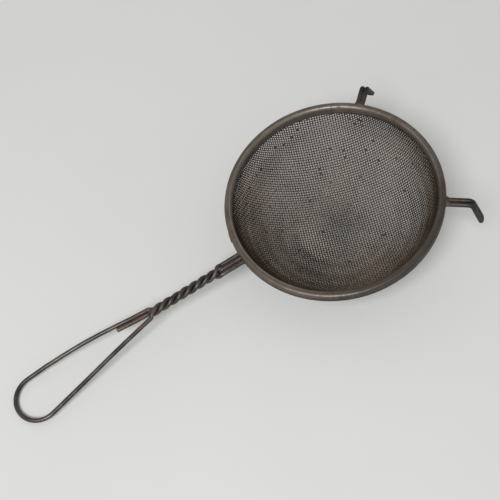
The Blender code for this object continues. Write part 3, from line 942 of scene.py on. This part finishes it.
def residue(net):
    """Lumps of dried flour paste in some holes of the cloth."""
    rng = np.random.default_rng(RESIDUE_SEED)
    cells = (net[:-1, :-1] + net[1:, :-1] + net[:-1, 1:] + net[1:, 1:]).reshape(-1, 3) / 4
    cells = cells[~np.isnan(cells[:, 0])]
    cells = cells[cells[:, 2] < CLOTH_TOP - 3.5]
    chosen = []
    for x, y in RESIDUE_SPOTS:
        nearest = int(np.argmin(np.hypot(cells[:, 0] - x, cells[:, 1] - y)))
        chosen.append((nearest, rng.uniform(*RESIDUE_SIZES)))
    at_rim = cells[:, 2] > RESIDUE_BORDER
    for (count, size), places in ((RESIDUE_AT_RIM, at_rim), (RESIDUE_INSIDE, ~at_rim)):
        for i in rng.choice(np.flatnonzero(places), count, replace=False):
            chosen.append((int(i), size * rng.uniform(0.7, 1.2)))
    parts = []
    for index, size in chosen:
        normal = off_cloth(cells[index][None])[1][0]
        across = unit(np.cross(normal, (0.3, 0.5, 0.8)))
        shape = (size, size * rng.uniform(0.75, 1.0), RESIDUE_HEIGHT)
        points, faces = lump((0.0, 0.0, 0.0), shape, int(rng.integers(1 << 30)), 0.09, 7, 12)
        basis = np.stack([across, np.cross(normal, across), normal])
        parts.append((points @ basis + cells[index], faces))
    return joined(parts)


def cloth_pieces():
    """The two families of wires, and the residue between them."""
    net = cloth_net()
    points, faces = residue(net)
    add_piece("cloth_residue", points, faces, residue_material(), ["mesh_bowl"])
    for name, along_first, shift in (("cloth_weft", True, 0.0), ("cloth_warp", False, 35.0)):
        points, faces = woven(cloth_wires(net, along_first))
        steel = cloth_material(f"{name}_steel", shift)
        add_piece(name, points, faces, steel, ["mesh_bowl"])


# Handle and hoop -----------------------------------------------------------------------------


def handle_line(x):
    """Sideways place of the handle's middle line, which leans a little off the rim's axis."""
    return HANDLE_OFFSET - (x + RIM_RADIUS) * HANDLE_LEAN


def twist_angle(name, x):
    """Turn of a strand round the twist's middle line at x."""
    share = (x - TWIST_START) / (TWIST_END - TWIST_START)
    return TWIST_PHASES[name] + math.tau * TWIST_LOBES / 3 * share


def gather(name, place, side):
    """One strand from its place in the flat row of three to its place in the twist."""
    x_row, x_twist, early_turn, lift = place
    points = []
    for t in np.linspace(0.0, 1.0, FAN_STEPS + 1):
        x = x_row + (x_twist - x_row) * t
        angle = twist_angle(name, x_twist) + early_turn * (1 - t)
        ease = t * t * (3 - 2 * t)
        y = side * (1 - ease) + TWIST_RADIUS * math.cos(angle) * ease
        z = TWIST_RADIUS * math.sin(angle) * (1 - (1 - t) ** 3) + lift * math.sin(math.pi * t) ** 2
        points.append((x, handle_line(x) + y, WIRE_LEVEL + z))
    return points


def twisted_strand(name, rim_side, loop_side):
    """One strand from the straight row at the rim, through the left-handed twist, to the loop."""
    at_rim, at_loop = RIM_GATHERS[name], LOOP_GATHERS[name]
    points = gather(name, at_rim, rim_side)
    for x in np.linspace(at_rim[1], at_loop[1], TWIST_STEPS + 1)[1:-1]:
        angle = twist_angle(name, x)
        y = handle_line(x) + TWIST_RADIUS * math.cos(angle)
        points.append((x, y, WIRE_LEVEL + TWIST_RADIUS * math.sin(angle)))
    return points + gather(name, at_loop, loop_side)[::-1]


def flat(points):
    """Points of the plane of the wires."""
    return [(x, y, WIRE_LEVEL) for x, y in points]


def flat_arc(centre, radius, start, end, steps):
    """Points of an arc in the plane of the wires, from one angle to another."""
    points = []
    for angle in np.linspace(start, end, steps + 1):
        points.append((centre[0] + radius * math.cos(angle), centre[1] + radius * math.sin(angle)))
    return flat(points)


def strand_start(side):
    """Where a strand of the straight row meets the outside of the hoop."""
    y = HANDLE_OFFSET + side
    return (-math.sqrt(WIRE_END_RADIUS ** 2 - y ** 2), y, WIRE_LEVEL)


def hoop_route():
    """From the cut end beside the loop, through the twist to the rim, then once round the rim."""
    strand = twisted_strand("hoop", WIRE_SPACING, TAIL_SIDE)
    bend_y = HANDLE_OFFSET + WIRE_SPACING + RIM_BEND_RADIUS
    bend_centre = (-math.sqrt((HOOP_RADIUS + RIM_BEND_RADIUS) ** 2 - bend_y ** 2), bend_y)
    join = math.atan2(bend_centre[1], bend_centre[0])
    bend = flat_arc(bend_centre, RIM_BEND_RADIUS, -math.pi / 2, join - math.pi, RIM_BEND_STEPS)
    ring = flat_arc((0.0, 0.0), HOOP_RADIUS, join, HOOP_END, HOOP_STEPS)
    return flat(TAIL_LEG)[::-1] + strand[::-1] + bend + ring[1:]


def loop_route():
    """From the hoop down the middle strand, round the hanging loop and back up the last strand."""
    down = twisted_strand("down", 0.0, -WIRE_SPACING)
    back = twisted_strand("back", -WIRE_SPACING, WIRE_SPACING)
    end = flat_arc(LOOP_CENTRE, LOOP_RADIUS, LOOP_FROM, LOOP_TO, LOOP_STEPS)
    around = flat([LOWER_LEG_BEND]) + end[::-1] + flat(UPPER_LEG)[::-1]
    return [strand_start(0.0)] + down + around + back[::-1] + [strand_start(-WIRE_SPACING)]


def handle_pieces():
    """The hoop with its strand, and the loop with the other two, rusty in the same places."""
    twist = ((-120.0, 0.5, WIRE_LEVEL), 20.0, 36.0, 0.22)
    row = ((-84.0, -1.0, WIRE_LEVEL), 4.0, 16.0, 0.3)
    cut_end = ((-162.0, 2.6, WIRE_LEVEL), 11.0, 20.0, 0.85)
    lower = ((-152.0, -2.5, WIRE_LEVEL), 6.0, 20.0, 0.8)
    tip = ((-250.0, -14.0, WIRE_LEVEL), 4.0, 16.0, 0.35)
    green = ((-137.2, -1.0, WIRE_LEVEL + 1.6), 0.8, 3.6, 0.7)
    hoop = wire_material("hoop_iron_wire", HANDLE_IRON, [twist, row, cut_end], [green])
    loop = wire_material("loop_iron_wire", HANDLE_IRON, [twist, row, lower, tip], [green])
    points, faces = tube(spline(hoop_route(), WIRE_POINT_SPACING), WIRE_RADIUS)
    add_piece("hoop_wire_strand", points, faces, hoop, ["hoop_wire"])
    route = wobble(spline(loop_route(), WIRE_POINT_SPACING), 0.10, 60.0, SEED)
    points, faces = tube(route, WIRE_RADIUS)
    add_piece("handle_wire_loop", points, faces, loop, ["handle_wire"])


# Rests and solder ----------------------------------------------------------------------------


def rest_route(corner, bend, reach, lean):
    """Out from the rim, over the corner and down to the tip, and back beside itself."""
    half = REST_SPACING / 2
    setback = REST_BEND_RADIUS * math.tan(bend / 2)
    line = [(WIRE_END_RADIUS, 0.0, 0.0)]
    for angle in np.linspace(0.0, bend, REST_BEND_STEPS + 1):
        out = corner - setback + REST_BEND_RADIUS * math.sin(angle)
        line.append((out, -REST_BEND_RADIUS * (1 - math.cos(angle)), 0.0))
    bent_x, bent_z, _ = line[-1]
    tip_x, tip_z = corner + reach * math.cos(bend), -reach * math.sin(bend)
    for t in (0.4, 0.7, 1.0):
        line.append((bent_x + (tip_x - bent_x) * t, bent_z + (tip_z - bent_z) * t, t))
    out = [(x, half + REST_TIP_SPREAD * t + lean * t, z) for x, z, t in line]
    back = [(x, -half - REST_TIP_SPREAD * t + lean * t, z) for x, z, t in reversed(line)]
    wide = half + REST_TIP_SPREAD
    tip = []
    for angle in np.linspace(0.0, math.pi, REST_TIP_STEPS + 1)[1:-1]:
        ahead = half * math.sin(angle)
        y = lean + wide * math.cos(angle)
        tip.append((tip_x + ahead * math.cos(bend), y, tip_z - ahead * math.sin(bend)))
    return np.array(out + tip + back) + (0.0, 0.0, WIRE_LEVEL)


def lump(centre, size, seed, rough, rings, sides):
    """A ball of solder or paste, uneven all round."""
    rng = np.random.default_rng(seed)
    waves = [(rng.normal(0, 1.0, 3), rng.uniform(0, math.tau), 1 / (1 + 0.4 * k)) for k in range(9)]
    points = [(0.0, 0.0, 1.0)]
    for row in range(1, rings):
        polar = math.pi * row / rings
        for k in range(sides):
            turn = math.tau * k / sides
            across = math.sin(polar)
            points.append((across * math.cos(turn), across * math.sin(turn), math.cos(polar)))
    points.append((0.0, 0.0, -1.0))
    points = np.array(points)
    swell = sum(height * np.sin(points @ (way * 2.6) + phase) for way, phase, height in waves)
    points = points * (1 + rough * swell[:, None]) * np.asarray(size) + np.asarray(centre)
    bottom = 1 + (rings - 2) * sides
    faces = []
    for k in range(sides):
        after = (k + 1) % sides
        faces.append((0, 1 + k, 1 + after))
        faces.append((len(points) - 1, bottom + after, bottom + k))
        for here in range(1, bottom, sides):
            there = here + sides
            faces.append((here + k, there + k, there + after, here + after))
    return points, faces


def flare(seed):
    """Solder drawn out from the rim along a pair of wires, as (points, faces) along local X."""
    rng = np.random.default_rng(seed)
    waves = [(rng.uniform(0.5, 1.6, 2), rng.uniform(0, math.tau)) for _ in range(6)]
    outline = spline(SOLDER_FLARE, 0.3)
    points = []
    for x, wide, tall in outline:
        shift = SOLDER_SHIFT * max(0.0, 1 - (x - outline[0][0]) / SOLDER_SHIFT_REACH)
        for turn in (math.tau * k / FLARE_SIDES for k in range(FLARE_SIDES)):
            c, s = math.cos(turn), math.sin(turn)
            y = wide * math.copysign(abs(c) ** 0.8, c)
            z = tall * math.copysign(abs(s) ** 0.8, s)
            grow = sum(math.sin(x * way[0] + 3 * turn * way[1] + phase) for way, phase in waves)
            grow = 1 + grow * 0.012
            points.append((x, y * grow + shift, z * grow + WIRE_LEVEL))
    return np.array(points), loft_faces(len(outline), FLARE_SIDES)


def rest_pieces():
    """The two hairpins and their solder, and the pad of solder under the handle's wires."""
    solder = solder_material()
    for seed, (name, (angle, *shape)) in enumerate(RESTS.items(), SEED):
        route = spline(rest_route(*shape), REST_POINT_SPACING)
        route = wobble(route, 0.07, 24.0, seed)
        ends = turned_by(np.array([route[len(route) // 2], (80.0, 0.0, WIRE_LEVEL)]), angle)
        spots = [(tuple(ends[0]), 2.0, 9.0, 0.25), (tuple(ends[1]), 3.0, 9.0, 0.4)]
        iron = wire_material(f"rest_iron_{name}", REST_IRON, spots, shine=-0.14)
        points, faces = tube(route, REST_RADIUS)
        points = turned_by(points, angle)
        add_piece(f"rest_hairpin_{name}", points, faces, iron, [f"rest_wire_{name}"])
        points, faces = flare(seed)
        points = turned_by(points, angle)
        add_piece(f"solder_blob_{name}", points, faces, solder, [f"solder_rest_{name}"])
    points, faces = lump(PAD_CENTRE, PAD_SIZE, PAD_SEED, 0.05, 24, 48)
    add_piece("solder_pad_handle", points, faces, solder, ["solder_handle"])


# Stage ---------------------------------------------------------------------------------------


def floor():
    """A plain pale table under the sifter."""
    n = Nodes("pale_table", in_rim_frame=False)
    colour = n.mix(n.noise(4.0, 4.0, 0.5), *TABLE)
    half = TABLE_HALF_SIZE
    corners = [(-half, -half, 0.0), (half, -half, 0.0), (half, half, 0.0), (-half, half, 0.0)]
    mesh = bpy.data.meshes.new("table")
    mesh.from_pydata(corners, [], [(0, 1, 2, 3)])
    mesh.materials.append(n.finish(colour, 0.55, 0.0))
    table = bpy.data.objects.new("table", mesh)
    bpy.context.scene.collection.objects.link(table)
    table.location.z = cad_low[2]


def lights():
    """The lamp and the room's even light."""
    light = bpy.data.lights.new("lamp", "AREA")
    light.shape = "DISK"
    light.size = LAMP_SIZE
    light.energy = LAMP_POWER
    light.color = LAMP_COLOUR
    lamp = bpy.data.objects.new("lamp", light)
    bpy.context.scene.collection.objects.link(lamp)
    lamp.location = LAMP_PLACE
    aim = Vector(LAMP_AIM) - Vector(LAMP_PLACE)
    lamp.rotation_euler = aim.to_track_quat("-Z", "Y").to_euler()
    world = bpy.data.worlds.new("room")
    bpy.context.scene.world = world
    world.use_nodes = True
    background = world.node_tree.nodes["Background"]
    background.inputs["Color"].default_value = (*ROOM_COLOUR, 1.0)
    background.inputs["Strength"].default_value = ROOM_STRENGTH
    bpy.context.scene.view_settings.view_transform = "Standard"


def camera():
    """The camera, looking down at the sifter from the handle's side."""
    data = bpy.data.cameras.new("camera")
    data.lens = CAMERA_LENS
    data.sensor_width = CAMERA_SENSOR
    thing = bpy.data.objects.new("camera", data)
    bpy.context.scene.collection.objects.link(thing)
    level = math.cos(CAMERA_ELEVATION)
    ahead = (math.sin(CAMERA_AZIMUTH) * level, -math.cos(CAMERA_AZIMUTH) * level)
    way = Vector((*ahead, math.sin(CAMERA_ELEVATION)))
    turn = (-way).to_track_quat("-Z", "Y").to_matrix() @ Matrix.Rotation(CAMERA_ROLL, 3, "Z")
    thing.matrix_world = Matrix.Translation(CAMERA_AIM + way * CAMERA_DISTANCE) @ turn.to_4x4()
    bpy.context.scene.camera = thing


camera()
lights()
floor()
rim_piece()
cloth_pieces()
handle_pieces()
rest_pieces()

bpy.context.view_layer.update()
